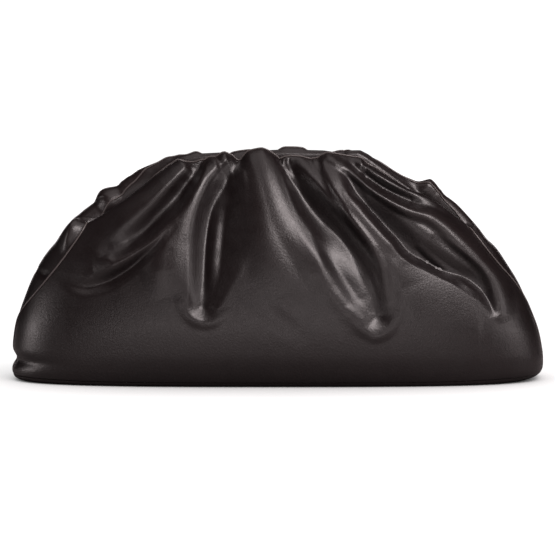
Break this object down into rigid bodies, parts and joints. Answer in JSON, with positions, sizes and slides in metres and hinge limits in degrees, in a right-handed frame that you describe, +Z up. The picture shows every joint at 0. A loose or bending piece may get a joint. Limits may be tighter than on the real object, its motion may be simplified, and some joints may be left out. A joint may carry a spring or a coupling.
{
  "type": "gathered leather pouch bag",
  "caption": "Soft clutch bag of smooth dark leather, gathered along an arched frame mouth into deep folds and standing on a flat base.",
  "frame": {"origin": "on the surface that the bag stands on, under the middle of its base", "axes": "+Z up, +X along the width to the viewer's right, the front faces -Y"},
  "size_m": [0.381, 0.1198, 0.1671],
  "materials": {
    "leather": "smooth, satin, very dark brown",
    "frame_metal": "plain spring steel, hidden"
  },
  "bodies": {
    "root": {"front_panel": "leather", "back_panel": "leather", "base_panel": "leather", "clasp_frame": "frame_metal"}
  },
  "joints": []
}
